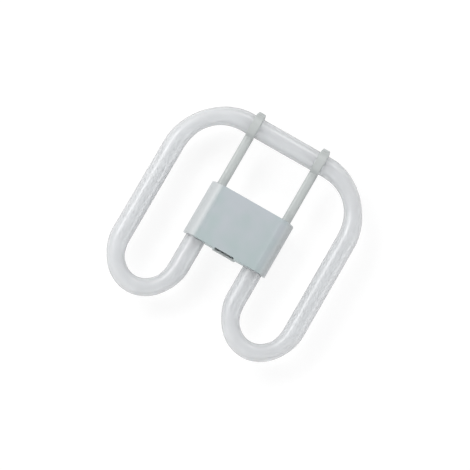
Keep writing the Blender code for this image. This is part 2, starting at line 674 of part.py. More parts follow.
def build_capacitor(material):
    """Make the suppression capacitor with its two legs bent towards the starter's stubs."""
    half = CAPACITOR_LENGTH / 2
    shoulder_in = CAPACITOR_RADIUS / 3
    profile = [(0, half), (CAPACITOR_RADIUS - shoulder_in, half), (CAPACITOR_RADIUS, half - shoulder_in),
               (CAPACITOR_RADIUS, shoulder_in - half), (CAPACITOR_RADIUS - shoulder_in, -half), (0, -half)]
    capacitor = turned("suppression_capacitor", PARTS, profile, (0, CAPACITOR_Y, CAPACITOR_Z), ALONG_X, 20)
    stub_x = -STARTER_LENGTH / 2 - STUB_LENGTH / 2
    reach_y = STARTER_Y - WIRE_RADIUS - SEAT_GAP
    low_z = STARTER_Z - STUB_SPACING / 2
    high_z = STARTER_Z + STUB_SPACING / 2
    over_z = CAPACITOR_Z + CAPACITOR_RADIUS + 2 * WIRE_RADIUS
    legs = [wire("capacitor_leg_low", CUTTERS, [(-half + shoulder_in, CAPACITOR_Y, CAPACITOR_Z),
                                                (-half - shoulder_in, CAPACITOR_Y, CAPACITOR_Z),
                                                (stub_x, (CAPACITOR_Y + STARTER_Y) / 2, low_z),
                                                (stub_x, reach_y, low_z)]),
            wire("capacitor_leg_high", CUTTERS, [(half - shoulder_in, CAPACITOR_Y, CAPACITOR_Z),
                                                 (half + shoulder_in, CAPACITOR_Y, CAPACITOR_Z),
                                                 (half + shoulder_in, CAPACITOR_Y + CAPACITOR_RADIUS, over_z),
                                                 (0, (CAPACITOR_Y + STARTER_Y) / 2, over_z),
                                                 (stub_x, (CAPACITOR_Y + STARTER_Y) / 2, high_z),
                                                 (stub_x, reach_y, high_z)])]
    join(capacitor, *[as_mesh(leg, leg.name, CUTTERS) for leg in legs])
    capacitor.data.materials.append(material)


clear_scene()
PARTS = make_collection("square_fluorescent_lamp")
CUTTERS = make_collection("cutters")

build_tube(make_material("coated_glass", (0.86, 0.87, 0.87), 0.2))
build_cement(make_material("capping_cement", (0.62, 0.60, 0.56), 0.9))
shared_hollows = cap_cutters()
build_cover(make_material("cover_plastic", (0.60, 0.64, 0.66), 0.45), shared_hollows)
build_body(make_material("body_plastic", (0.66, 0.69, 0.70), 0.45), shared_hollows)
build_arms(make_material("arm_plastic", (0.68, 0.70, 0.71), 0.45))
build_pins(make_material("pin_brass", (0.78, 0.62, 0.32), 0.3, 1.0))
build_leads(make_material("lead_wire", (0.72, 0.70, 0.68), 0.35, 1.0))
build_starter(make_material("starter_glass", (0.80, 0.84, 0.86), 0.1))
build_capacitor(make_material("capacitor_coating", (0.75, 0.55, 0.30), 0.5))
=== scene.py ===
"""Studio picture of a square compact fluorescent lamp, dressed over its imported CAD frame.

Metres throughout. +X runs across the lamp, +Y towards its two support arms and +Z out of the lighting
side. The origin is the middle of the cap's rear face, on which the lamp lies.
"""

import logging
import math
from collections.abc import Callable, Sequence
from dataclasses import dataclass
from enum import Enum
from functools import cache

import bmesh
import bpy
import numpy as np
from bpy.types import ID, Material, Mesh, Node, NodeSocket, NodeTree, Object, ShaderNodeTree
from mathutils import Matrix, Vector


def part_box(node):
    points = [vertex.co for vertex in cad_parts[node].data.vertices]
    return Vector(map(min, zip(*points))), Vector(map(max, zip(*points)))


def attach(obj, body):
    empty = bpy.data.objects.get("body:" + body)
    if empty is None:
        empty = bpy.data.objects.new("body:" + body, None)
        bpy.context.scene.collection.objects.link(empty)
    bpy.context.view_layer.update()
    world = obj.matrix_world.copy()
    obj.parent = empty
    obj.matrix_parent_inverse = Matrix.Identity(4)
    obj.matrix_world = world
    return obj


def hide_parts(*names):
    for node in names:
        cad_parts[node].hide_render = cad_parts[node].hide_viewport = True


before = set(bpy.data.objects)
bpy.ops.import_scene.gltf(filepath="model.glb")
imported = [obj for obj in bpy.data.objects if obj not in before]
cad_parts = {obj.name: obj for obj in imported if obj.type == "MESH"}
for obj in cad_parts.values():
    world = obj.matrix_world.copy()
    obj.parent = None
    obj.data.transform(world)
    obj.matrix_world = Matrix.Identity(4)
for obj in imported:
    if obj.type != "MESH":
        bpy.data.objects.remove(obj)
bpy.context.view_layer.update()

LOG = logging.getLogger("lamp_scene")

Triple = tuple[float, float, float]
Colour = Triple
Rgba = tuple[float, float, float, float]
Outline = Callable[[float], np.ndarray]

# Nearly all values of a noise texture lie in this range
NOISE_LOW = 0.3
NOISE_HIGH = 0.7
# Edges sharper than this, in degrees, stay crisp on moulded and turned pieces
CREASE = 32.0
# Corner radius of the latch slot, the blade and the pegs
SMALL_CORNER = 0.0006
# Sides of the contact pins and of their holes
PIN_SIDES = 48


class Side(Enum):
    """The two halves of the lamp, by the sign of X."""

    LEFT = -1
    RIGHT = 1

    @property
    def label(self) -> str:
        """Name the side as the CAD nodes do."""
        return self.name.lower()


class Axis(Enum):
    """The direction that a section is carried along, with the order of its two plane axes before it."""

    X = (1, 2, 0)
    Y = (0, 2, 1)
    Z = (0, 1, 2)


class Slot(Enum):
    """The record's material slot names, which each dressed piece is passed but does not use."""

    GLASS = "coated_glass"
    COVER = "cover_plastic"
    BODY = "body_plastic"
    ARM = "arm_plastic"
    PIN = "pin_brass"


@dataclass(frozen=True)
class Datum:
    """Places that the sub-assemblies share: all but the tube ends' setback come from the CAD boxes."""

    tube_radius: float
    tube_z: float
    outer_leg_x: float
    top_run_y: float
    leg_x: float
    sleeve_radius: float
    cap_top: float
    body_top: float
    depth: float
    peg_top: float
    end_setback: float = 0.0097

    @property
    def tip_y(self) -> float:
        """Where the tube's two closed ends lie, inside the cap."""
        return self.cap_top - self.end_setback

    @classmethod
    def from_frame(cls) -> "Datum":
        """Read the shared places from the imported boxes.

        Returns:
            The shared places of this lamp.
        """
        tube_low, tube_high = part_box("discharge_tube")
        cover_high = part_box("cap_cover")[1]
        tube_z = (tube_low.z + tube_high.z) / 2
        radius = (tube_high.z - tube_low.z) / 2
        sleeve = cover_high.z - tube_z
        return cls(tube_radius=radius, tube_z=tube_z, outer_leg_x=tube_high.x - radius,
                   top_run_y=tube_high.y - radius, leg_x=cover_high.x - sleeve, sleeve_radius=sleeve,
                   cap_top=cover_high.y, body_top=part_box("cap_body")[1].y, depth=cover_high.z,
                   peg_top=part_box("support_arm_left")[1].y)


def ease(t: np.ndarray) -> np.ndarray:
    """Blend from 0 to 1 with level ends: three t squared less two t cubed, between 0 and 1."""
    t = np.clip(t, 0.0, 1.0)
    return t * t * (3 - 2 * t)


def arc(centre: Sequence[float], radius: float, start: float, end: float, steps: int) -> np.ndarray:
    """Give points on an arc: centre plus radius times cosine and sine of the angle.

    Args:
        centre: The arc's centre in its plane.
        radius: The arc's radius.
        start: The first angle in degrees.
        end: The last angle in degrees.
        steps: How many equal steps lie between the two ends.

    Returns:
        Points by row, with both ends.
    """
    angles = np.radians(np.linspace(start, end, steps + 1))
    return np.column_stack([centre[0] + radius * np.cos(angles), centre[1] + radius * np.sin(angles)])


def stadium(half_length: float, radius: float, steps: int = 40) -> Outline:
    """Give the outline of a flat bar with round ends, which shrinks evenly by an inset.

    Args:
        half_length: Half the distance between the two end centres.
        radius: The end radius at no inset.
        steps: Steps round each end.

    Returns:
        A function from an inset to the outline's points.
    """
    def at(inset: float) -> np.ndarray:
        """Draw both ends with the radius less the inset."""
        return np.vstack([arc((half_length, 0), radius - inset, -90, 90, steps),
                          arc((-half_length, 0), radius - inset, 90, 270, steps)])
    return at


def rounded_rectangle(width: float, height: float, radius: float, steps: int = 10) -> Outline:
    """Give a rectangle's outline with rounded corners, which shrinks evenly by an inset.

    Args:
        width: Full width at no inset.
        height: Full height at no inset.
        radius: Corner radius at no inset, which loses the inset but keeps at least a tenth of itself.
        steps: Steps round each corner.

    Returns:
        A function from an inset to the outline's points.
    """
    def at(inset: float) -> np.ndarray:
        """Draw four corner arcs about centres that stay in from the shrunken sides by their radius."""
        corner = max(radius - inset, radius / 10)
        x = width / 2 - inset - corner
        y = height / 2 - inset - corner
        turns = zip(((x, y), (-x, y), (-x, -y), (x, -y)), (0, 90, 180, 270))
        return np.vstack([arc(centre, corner, start, start + 90, steps) for centre, start in turns])
    return at


def ring_quads(rows: int, columns: int) -> np.ndarray:
    """Index the quads between rings of points, where point (i, j) has index i times columns plus j."""
    i = np.arange(rows - 1)[:, None] * columns
    j = np.arange(columns)[None, :]
    k = (j + 1) % columns
    return np.stack([i + j, i + k, i + columns + k, i + columns + j], axis=-1).reshape(-1, 4)


def shell(name: str, rings: np.ndarray) -> Mesh:
    """Make a closed mesh from rings of points, with flat ends, facing outwards.

    Args:
        name: The mesh's name.
        rings: Points as rows by columns by three, and each row closes on itself.

    Returns:
        The closed mesh.
    """
    rows, columns, _ = rings.shape
    faces = ring_quads(rows, columns).tolist()
    faces += [list(range(columns)), list(range((rows - 1) * columns, rows * columns))]
    mesh = bpy.data.meshes.new(name)
    mesh.from_pydata(rings.reshape(-1, 3).tolist(), [], faces)
    bm = bmesh.new()
    bm.from_mesh(mesh)
    bmesh.ops.recalc_face_normals(bm, faces=bm.faces)
    bm.to_mesh(mesh)
    bm.free()
    return mesh


def in_lamp_axes(local: np.ndarray, axis: Axis) -> np.ndarray:
    """Reorder points from their own two plane axes and one along to the lamp's X, Y and Z."""
    points = np.empty_like(local)
    points[..., list(axis.value)] = local
    return points


def rounded_bar(name: str, outline: Outline, low: float, high: float, axis: Axis,
                centre: Sequence[float] = (0.0, 0.0), rounding: float = 0.0, steps: int = 6) -> Mesh:
    """Carry an outline along an axis and round its two end edges.

    Near each end the outline shrinks by rounding times one less the sine of an angle, while the
    distance from the end is rounding times one less the cosine of that angle.

    Args:
        name: The mesh's name.
        outline: A function from an inset to the outline's points.
        low: Where the bar starts on the axis.
        high: Where the bar ends on the axis.
        axis: The axis that the outline is carried along.
        centre: Where the outline's own origin lies in its plane.
        rounding: Radius of the end edges, or zero for sharp ones.
        steps: Steps round each end edge.

    Returns:
        The closed mesh of the bar.
    """
    turn = np.radians(np.linspace(0, 90, steps + 1)) if rounding else np.array([np.pi / 2])
    insets = rounding * (1 - np.sin(turn))
    setbacks = rounding * (1 - np.cos(turn))
    insets = np.concatenate([insets, insets[::-1]])
    places = np.concatenate([low + setbacks, high - setbacks[::-1]])
    flat = np.stack([outline(inset) for inset in insets])
    along = np.broadcast_to(places[:, None, None], (*flat.shape[:2], 1))
    return shell(name, in_lamp_axes(np.concatenate([flat + np.asarray(centre), along], axis=2), axis))


def block(name: str, low: Sequence[float], high: Sequence[float]) -> Mesh:
    """Make a box from any two opposite corners."""
    low, high = np.minimum(low, high), np.maximum(low, high)
    corners = np.array([low[:2], (high[0], low[1]), high[:2], (low[0], high[1])])
    return rounded_bar(name, lambda inset: corners, low[2], high[2], Axis.Z)


def turned(name: str, profile: Sequence[tuple[float, float]], centre: Sequence[float], axis: Axis,
           sides: int = 64) -> Mesh:
    """Revolve a profile about an axis: radius times cosine and sine of the turn, at each height.

    Args:
        name: The mesh's name.
        profile: Pairs of radius and distance along the axis, with radii above zero.
        centre: A point on the axis from which the distances are taken.
        axis: The axis of revolution.
        sides: Sides round the turn.

    Returns:
        The closed mesh, with flat ends.
    """
    radii, heights = np.array(profile).T
    turn = np.linspace(0, 2 * np.pi, sides, endpoint=False)
    local = np.stack([np.outer(radii, np.cos(turn)), np.outer(radii, np.sin(turn)),
                      np.broadcast_to(heights[:, None], (len(radii), sides))], axis=-1)
    return shell(name, in_lamp_axes(local, axis) + np.asarray(centre))


def into_scene(name: str, data: ID) -> Object:
    """Put a mesh, a light or a camera into the scene as an object."""
    obj = bpy.data.objects.new(name, data)
    bpy.context.scene.collection.objects.link(obj)
    return obj


class Piece:
    """A visible piece: a mesh at the origin that is cut, joined, shaded and handed to the frame."""

    def __init__(self, name: str, mesh: Mesh) -> None:
        """Put the first solid into the scene."""
        self.obj = into_scene(name, mesh)
        self._tools: list[Object] = []

    def _boolean(self, mesh: Mesh, operation: str) -> None:
        """Queue one exact Boolean against a solid."""
        tool = into_scene(mesh.name, mesh)
        modifier = self.obj.modifiers.new(mesh.name, "BOOLEAN")
        modifier.operation = operation
        modifier.solver = "EXACT"
        modifier.object = tool
        self._tools.append(tool)

    def cut(self, *meshes: Mesh) -> "Piece":
        """Take each solid out of the piece."""
        for mesh in meshes:
            self._boolean(mesh, "DIFFERENCE")
        return self

    def join(self, *meshes: Mesh) -> "Piece":
        """Add each solid to the piece."""
        for mesh in meshes:
            self._boolean(mesh, "UNION")
        return self

    def settle(self) -> "Piece":
        """Apply everything queued and clear the tools away."""
        graph = bpy.context.evaluated_depsgraph_get()
        mesh = bpy.data.meshes.new_from_object(self.obj.evaluated_get(graph))
        mesh.name = self.obj.name
        self.obj.modifiers.clear()
        self.obj.data = mesh
        for tool in self._tools:
            bpy.data.meshes.remove(tool.data)
        self._tools.clear()
        return self

    def soften(self, voxel: float, passes: int, pull: float = 0.5) -> "Piece":
        """Melt a joined piece into one skin with the small fillets of a moulding.

        Args:
            voxel: Edge length of the even mesh that the skin is drawn with.
            passes: How many times the skin is evened out.
            pull: How far each pass moves a point towards the middle of its neighbours, as a share.

        Returns:
            The piece itself.
        """
        remesh = self.obj.modifiers.new("Skin", "REMESH")
        remesh.mode = "VOXEL"
        remesh.voxel_size = voxel
        smooth = self.obj.modifiers.new("Fillets", "SMOOTH")
        smooth.factor = pull
        smooth.iterations = passes
        return self.settle()

    def shade(self, angle: float = 180.0) -> "Piece":
        """Shade smooth apart from edges sharper than an angle in degrees."""
        self.obj.data.shade_smooth()
        if angle < 180.0:
            self.obj.data.set_sharp_from_angle(angle=math.radians(angle))
            weighted = self.obj.modifiers.new("Flats", "WEIGHTED_NORMAL")
            weighted.keep_sharp = True
        return self

    def dress(self, material: Material, slot: Slot, *nodes: str) -> None:
        """Give the piece its finish and let it stand for its CAD nodes.

        Args:
            material: The finish.
            slot: Not used.
            nodes: The CAD nodes that the piece replaces.
        """
        self.obj.data.materials.clear()
        self.obj.data.materials.append(material)
        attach(self.obj, "root")
        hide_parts(*nodes)
        LOG.info("%s: %d faces, for %s", self.obj.name, len(self.obj.data.polygons), ", ".join(nodes))


class Graph:
    """Shorthand for wiring the nodes of a material, a group or the sky."""

    def __init__(self, tree: NodeTree) -> None:
        """Keep the tree to wire."""
        self.tree = tree

    def feed(self, socket: NodeSocket, value: object) -> None:
        """Link another socket to an input, or set the input's own value."""
        if isinstance(value, NodeSocket):
            self.tree.links.new(value, socket)
        else:
            socket.default_value = value

    def fill(self, node: Node, **values: object) -> Node:
        """Set a node's properties by name, or feed its inputs by name with spaces as underscores."""
        for key, value in values.items():
            if hasattr(node, key):
                setattr(node, key, value)
            else:
                self.feed(node.inputs[key.replace("_", " ")], value)
        return node

    def node(self, kind: str, *feeds: object, **values: object) -> Node:
        """Add a node, set its properties, and feed its inputs.

        Args:
            kind: The node's type name.
            feeds: What the node's first inputs get, in their order.
            values: Properties by name, or inputs by name with spaces as underscores.

        Returns:
            The new node.
        """
        node = self.fill(self.tree.nodes.new(kind), **values)
        for socket, value in zip(node.inputs, feeds):
            self.feed(socket, value)
        return node

    def place(self) -> NodeSocket:
        """Give the point's place in the object's own coordinates."""
        return self.node("ShaderNodeTexCoord").outputs["Object"]

    def noise(self, place: NodeSocket, scale: object, detail: float) -> NodeSocket:
        """Give a cloudy noise with a scale and a number of finer layers."""
        return self.node("ShaderNodeTexNoise", Vector=place, Scale=scale, Detail=detail).outputs["Fac"]

    def remap(self, value: NodeSocket, low: float, high: float, to_low: object = 0.0,
              to_high: object = 1.0) -> NodeSocket:
        """Bring a value from one range to another, held inside it."""
        return self.node("ShaderNodeMapRange", value, low, high, to_low, to_high).outputs["Result"]

    def spread(self, noise: NodeSocket, low: object = 0.0, high: object = 1.0) -> NodeSocket:
        """Bring a noise from its usual range to another."""
        return self.remap(noise, NOISE_LOW, NOISE_HIGH, low, high)

    def math(self, operation: str, *values: object) -> NodeSocket:
        """Work out one sum or comparison of numbers."""
        return self.node("ShaderNodeMath", *values, operation=operation).outputs[0]

    def blend(self, share: NodeSocket, first: object, second: object, kind: str = "MIX") -> NodeSocket:
        """Mix two colours by the second one's share."""
        return self.node("ShaderNodeMixRGB", share, first, second, blend_type=kind).outputs["Color"]

    def bump(self, height: NodeSocket, depth: float) -> NodeSocket:
        """Give the normal of a surface that is uneven by a depth."""
        return self.node("ShaderNodeBump", Height=height, Distance=depth).outputs["Normal"]

    def mix(self, share: NodeSocket, first: Node, second: Node) -> NodeSocket:
        """Mix two shaders by the second one's share."""
        return self.node("ShaderNodeMixShader", share, first.outputs[0], second.outputs[0]).outputs[0]


def new_material(name: str) -> tuple[Material, Graph, Node]:
    """Make a material with nodes.

    Args:
        name: The material's name.

    Returns:
        The material, its graph and its Principled shader.
    """
    material = bpy.data.materials.new(name)
    material.use_nodes = True
    return material, Graph(material.node_tree), material.node_tree.nodes["Principled BSDF"]


def rgba(colour: Colour, factor: float = 1.0) -> Rgba:
    """Make a colour lighter or darker by a factor, and add full opacity."""
    return (*(min(1.0, channel * factor) for channel in colour), 1.0)


def grey(level: float) -> Rgba:
    """Give an opaque grey."""
    return rgba((level,) * 3)


@cache
def moulded_skin() -> ShaderNodeTree:
    """Build the node group of every moulded or cast surface: slow tone, fine grain and varied gloss.

    Two noises on the object's own coordinates are blended: a slow one for flow marks and a fine
    one for the mould's grain. The tone is their weighted sum, and the height is the fine one.

    Returns:
        The group, which is built once and shared.
    """
    tree = bpy.data.node_groups.new("moulded_skin", "ShaderNodeTree")
    numbers = ("Flow Scale", "Grain Scale", "Grain Share", "Smooth", "Rough")
    for way, kind, names in (("INPUT", "NodeSocketColor", ("Light", "Dark")),
                             ("INPUT", "NodeSocketFloat", numbers),
                             ("OUTPUT", "NodeSocketColor", ("Colour",)),
                             ("OUTPUT", "NodeSocketFloat", ("Roughness", "Height"))):
        for name in names:
            tree.interface.new_socket(name=name, in_out=way, socket_type=kind)
    g = Graph(tree)
    given = g.node("NodeGroupInput").outputs
    place = g.place()
    flow = g.noise(place, given["Flow Scale"], detail=3.0)
    grain = g.noise(place, given["Grain Scale"], detail=2.0)
    tone = g.node("ShaderNodeMix", Factor=given["Grain Share"], A=flow, B=grain).outputs["Result"]
    colour = g.blend(g.spread(tone), given["Dark"], given["Light"])
    gloss = g.spread(grain, given["Smooth"], given["Rough"])
    g.node("NodeGroupOutput", Colour=colour, Roughness=gloss, Height=grain)
    return tree


@dataclass(frozen=True)
class PanelTint:
    """The cooler tone of the cover's flat panel, which drifts from its upper edge to its lower one."""

    upper: Colour
    lower: Colour
    centre: float = 0.0019
    half_width: float = 0.0241
    half_height: float = 0.018
    blur: float = 0.0018
    drift: float = 0.022
    drift_scale: float = 75.0

    def over(self, g: Graph, own: Rgba, factor: float) -> NodeSocket:
        """Lay the tint over the moulding's own colour.

        The share of the upper tone rises along Y, shifted by a slow noise times the drift. The tint
        fades out over the blur on both sides of its edges, as measured along X from its centre.

        Args:
            g: The graph to build in.
            own: The moulding's own colour.
            factor: What both tones are multiplied by.

        Returns:
            The mixed colour.
        """
        place = g.place()
        axes = g.node("ShaderNodeSeparateXYZ", place).outputs
        shift = g.spread(g.noise(place, self.drift_scale, detail=1.0), -self.drift, self.drift)
        rise = g.remap(g.math("ADD", axes["Y"], shift), -self.half_height, self.half_height)
        tint = g.blend(rise, rgba(self.lower, factor), rgba(self.upper, factor))
        away = g.math("ABSOLUTE", g.math("SUBTRACT", axes["X"], self.centre))
        share = g.remap(away, self.half_width - self.blur, self.half_width + self.blur)
        return g.blend(share, tint, own)


@dataclass(frozen=True)
class MouldedFinish:
    """A moulded, cast or dipped surface that uses the shared skin."""

    name: str
    colour: Colour
    tone: float = 0.02
    smooth: float = 0.36
    rough: float = 0.46
    flow_scale: float = 60.0
    grain_scale: float = 1800.0
    grain_share: float = 0.35
    grain_depth: float = 0.00002
    coat: float = 0.0
    coat_roughness: float = 0.1
    panel: PanelTint | None = None

    def _tint(self, g: Graph, factor: float) -> object:
        """Give the colour times a factor, with the panel's own tint over it if it has one."""
        own = rgba(self.colour, factor)
        return own if self.panel is None else self.panel.over(g, own, factor)

    def material(self) -> Material:
        """Build the material.

        Returns:
            The material with the skin's colour, gloss and grain.
        """
        material, g, shader = new_material(self.name)
        skin = g.node("ShaderNodeGroup", node_tree=moulded_skin(), Light=self._tint(g, 1 + self.tone),
                      Dark=self._tint(g, 1 - self.tone), Flow_Scale=self.flow_scale,
                      Grain_Scale=self.grain_scale, Grain_Share=self.grain_share, Smooth=self.smooth,
                      Rough=self.rough).outputs
        g.fill(shader, Base_Color=skin["Colour"], Roughness=skin["Roughness"],
               Normal=g.bump(skin["Height"], self.grain_depth), Coat_Weight=self.coat,
               Coat_Roughness=self.coat_roughness)
        return material


@dataclass(frozen=True)
class CoatedGlassFinish:
    """Clear glass tube with a white powder coating on its inside."""

    name: str = "coated_glass"
    colour: Colour = (0.556, 0.58, 0.607)
    mottle: float = 0.018
    mottle_scale: float = 95.0
    smooth: float = 0.34
    rough: float = 0.42
    draw_scale: float = 28.0
    draw_depth: float = 0.00002
    coat_roughness: float = 0.3
    depth: float = 0.06
    # Strength and facing range of the painted shade along the tube's outline
    painted_rim_shade: float = 0.88
    painted_rim_start: float = 0.48
    painted_rim_end: float = 0.84

    def material(self) -> Material:
        """Build the material: mottled powder that light soaks through, under a slightly wavy clear coat.

        Towards the tube's rim the powder is darkened by the facing angle: painted shade along the outline,
        standing in for the longer path through the glass wall.

        Returns:
            The material.
        """
        material, g, shader = new_material(self.name)
        place = g.place()
        cloud = g.noise(place, self.mottle_scale, detail=5.0)
        powder = g.blend(g.spread(cloud), rgba(self.colour, 1 - self.mottle),
                         rgba(self.colour, 1 + self.mottle))
        draw = g.noise(place, self.draw_scale, detail=1.0)
        # Painted shade: the facing angle darkens the powder towards the tube's outline
        slant = g.node("ShaderNodeLayerWeight", Blend=0.5).outputs["Facing"]
        far = g.remap(slant, self.painted_rim_start, self.painted_rim_end)
        powder_with_painted_rim = g.blend(far, powder, grey(1 - self.painted_rim_shade), "MULTIPLY")
        g.fill(shader, Base_Color=powder_with_painted_rim, Roughness=g.spread(cloud, self.smooth, self.rough),
               Normal=g.bump(draw, self.draw_depth), Specular_IOR_Level=0.0, Subsurface_Weight=1.0,
               Subsurface_Radius=(1.0, 1.0, 1.0), Subsurface_Scale=self.depth, Coat_Weight=1.0,
               Coat_Roughness=self.coat_roughness)
        return material


@dataclass(frozen=True)
class MetalFinish:
    """Drawn or turned metal with fine lines round its axis and a slight tarnish."""

    name: str
    colour: Colour
    tarnish: Colour
    line_scale: float = 2400.0
    line_stretch: Triple = (0.05, 0.05, 1.0)
    line_depth: float = 0.00001
    blotch_scale: float = 420.0
    blotch_start: float = 0.42
    blotch_end: float = 0.75
    smooth: float = 0.18
    rough: float = 0.34

    def material(self) -> Material:
        """Build the material: lines across Z from stretched noise, and a blotchy tarnish.

        Returns:
            The material.
        """
        material, g, shader = new_material(self.name)
        place = g.place()
        stretched = g.node("ShaderNodeMapping", Vector=place, Scale=self.line_stretch).outputs["Vector"]
        lines = g.noise(stretched, self.line_scale, detail=1.0)
        blotch = g.noise(place, self.blotch_scale, detail=4.0)
        tint = g.blend(g.remap(blotch, self.blotch_start, self.blotch_end), rgba(self.colour),
                       rgba(self.tarnish))
        g.fill(shader, Base_Color=tint, Roughness=g.spread(lines, self.smooth, self.rough),
               Normal=g.bump(lines, self.line_depth), Metallic=1.0)
        return material


@dataclass(frozen=True)
class DischargeTube:
    """The double loop of coated glass, which starts and ends inside the cap."""

    datum: Datum
    bend_radius: float = 0.0057
    corner_reach_x: float = 0.0336
    corner_reach_y: float = 0.0359
    return_depth: float = 0.0248
    corner_blend: float = 0.44
    return_blend: float = 0.22
    shoulder_length: float = 0.008
    tip_radius: float = 0.003
    sides: int = 72
    corner_steps: int = 72
    return_steps: int = 120
    shoulder_steps: int = 16

    def _bend(self, centre: Sequence[float], reach_x: float, reach_y: float, start: float, end: float,
              steps: int, blend: float) -> np.ndarray:
        """Give x, y and radius round an elliptical bend, whose glass is drawn thinner in the middle.

        The radius goes from the straight tube's to the bend's by an eased share of the distance from
        the nearer end.

        Args:
            centre: The ellipse's centre.
            reach_x: Its half axis along X.
            reach_y: Its half axis along Y.
            start: The first angle in degrees.
            end: The last angle in degrees.
            steps: How many steps the bend has.
            blend: The share of the bend over which the radius changes at each end.

        Returns:
            Stations by row.
        """
        share = np.linspace(0, 1, steps + 1)
        angle = np.radians(start + (end - start) * share)
        thin = ease(np.minimum(share, 1 - share) / blend)
        radius = self.datum.tube_radius + (self.bend_radius - self.datum.tube_radius) * thin
        return np.column_stack([centre[0] + reach_x * np.cos(angle), centre[1] + reach_y * np.sin(angle),
                                radius])

    def _stations(self) -> np.ndarray:
        """Give x, y and radius along the whole tube, from the left end round to the right end."""
        d = self.datum
        half_bend = (d.outer_leg_x - d.leg_x) / 2
        return_y = -d.top_run_y - d.tube_radius + self.bend_radius + self.return_depth
        corner = self._bend((d.outer_leg_x - self.corner_reach_x, d.top_run_y - self.corner_reach_y),
                            self.corner_reach_x, self.corner_reach_y, 90, 0, self.corner_steps,
                            self.corner_blend)
        back = self._bend((d.leg_x + half_bend, return_y), half_bend, self.return_depth, 0, -180,
                          self.return_steps, self.return_blend)
        turn = np.radians(np.linspace(0, 90, self.shoulder_steps + 1))
        shoulder = np.column_stack([np.full(turn.shape, d.leg_x),
                                    d.tip_y - self.shoulder_length * (1 - np.sin(turn)),
                                    self.tip_radius + (d.tube_radius - self.tip_radius) * np.cos(turn)])
        right = np.vstack([corner, back, shoulder])
        left = right[::-1] * (-1, 1, 1)
        return np.vstack([left, right])

    def build(self) -> Piece:
        """Carry a circle along the stations: centre plus radius times cosine and sine in the tube's axes.

        Returns:
            The tube as one closed shell.
        """
        x, y, radius = self._stations().T
        along = np.column_stack([np.gradient(x), np.gradient(y)])
        along /= np.linalg.norm(along, axis=1, keepdims=True)
        turn = np.linspace(0, 2 * np.pi, self.sides, endpoint=False)
        across = radius[:, None] * np.cos(turn)
        rings = np.stack([x[:, None] - along[:, 1:] * across, y[:, None] + along[:, :1] * across,
                          self.datum.tube_z + radius[:, None] * np.sin(turn)], axis=-1)
        return Piece("discharge_tube_glass", shell("discharge_tube_glass", rings)).shade()

    def dress(self, finish: CoatedGlassFinish) -> None:
        """Build the tube and give it its coated glass."""
        self.build().dress(finish.material(), Slot.GLASS, "discharge_tube")


@dataclass(frozen=True)
class SupportArm:
    """One of the two slim arms, with its foot, its clip over the tube and its peg."""

    datum: Datum
    side: Side
    offset: float = 0.00275
    width: float = 0.006
    depth: float = 0.0046
    rounding: float = 0.0022
    foot_width: float = 0.0098
    foot_depth: float = 0.0078
    foot_thickness: float = 0.0024
    foot_drop: float = 0.0019
    clip_width: float = 0.0058
    clip_thickness: float = 0.0014
    clip_wrap: float = 20.0
    clip_gap: float = 0.0003
    clip_steps: int = 64
    peg_width: float = 0.005
    peg_depth: float = 0.0042
    peg_rounding: float = 0.0003
    voxel: float = 0.00024
    passes: int = 5

    @property
    def x(self) -> float:
        """Where the arm's middle line lies across the lamp."""
        return self.side.value * (self.datum.leg_x + self.offset)

    @property
    def clip_inner(self) -> float:
        """Inner radius of the clip."""
        return self.datum.tube_radius + self.clip_gap

    def _bar(self) -> Mesh:
        """Carry a rounded rectangle from the foot to the clip."""
        d = self.datum
        start = d.body_top - self.foot_drop - self.foot_thickness / 2
        end = d.top_run_y - self.clip_inner - self.clip_thickness / 2
        return rounded_bar("arm_bar", rounded_rectangle(self.width, self.depth, self.rounding), start, end,
                           Axis.Y, (self.x, d.tube_z))

    def _foot(self) -> Mesh:
        """Make the plate at the arm's lower end, which the two cap mouldings hold."""
        d = self.datum
        middle = self.side.value * d.leg_x
        top = d.body_top - self.foot_drop
        return block("foot", (middle - self.foot_width / 2, top - self.foot_thickness,
                              d.tube_z - self.foot_depth / 2),
                     (middle + self.foot_width / 2, top, d.tube_z + self.foot_depth / 2))

    def _clip(self) -> Mesh:
        """Carry the clip's section, a thick arc round the tube's front, across the clip's width."""
        d = self.datum
        wrap = self.clip_wrap
        section = np.vstack([arc((0, 0), self.clip_inner + self.clip_thickness, -wrap, 180 + wrap,
                                 self.clip_steps),
                             arc((0, 0), self.clip_inner, 180 + wrap, -wrap, self.clip_steps)])
        return rounded_bar("clip", lambda inset: section, self.x - self.clip_width / 2,
                           self.x + self.clip_width / 2, Axis.X, (d.top_run_y, d.tube_z))

    def _peg(self) -> Mesh:
        """Carry the peg's rounded section from the clip's outer side to the lamp's end."""
        d = self.datum
        root = d.top_run_y + self.clip_inner + self.clip_thickness / 3
        return rounded_bar("peg", rounded_rectangle(self.peg_width, self.peg_depth, SMALL_CORNER), root,
                           d.peg_top, Axis.Y, (self.x, d.tube_z), self.peg_rounding)

    def build(self) -> Piece:
        """Join bar, foot, clip and peg, and melt them into one moulding."""
        arm = Piece("support_arm_{}_moulding".format(self.side.label), self._bar())
        arm.join(self._foot(), self._clip(), self._peg())
        return arm.soften(self.voxel, self.passes).shade()

    def dress(self, material: Material) -> None:
        """Build the arm and give it its plastic."""
        self.build().dress(material, Slot.ARM, "support_arm_" + self.side.label)


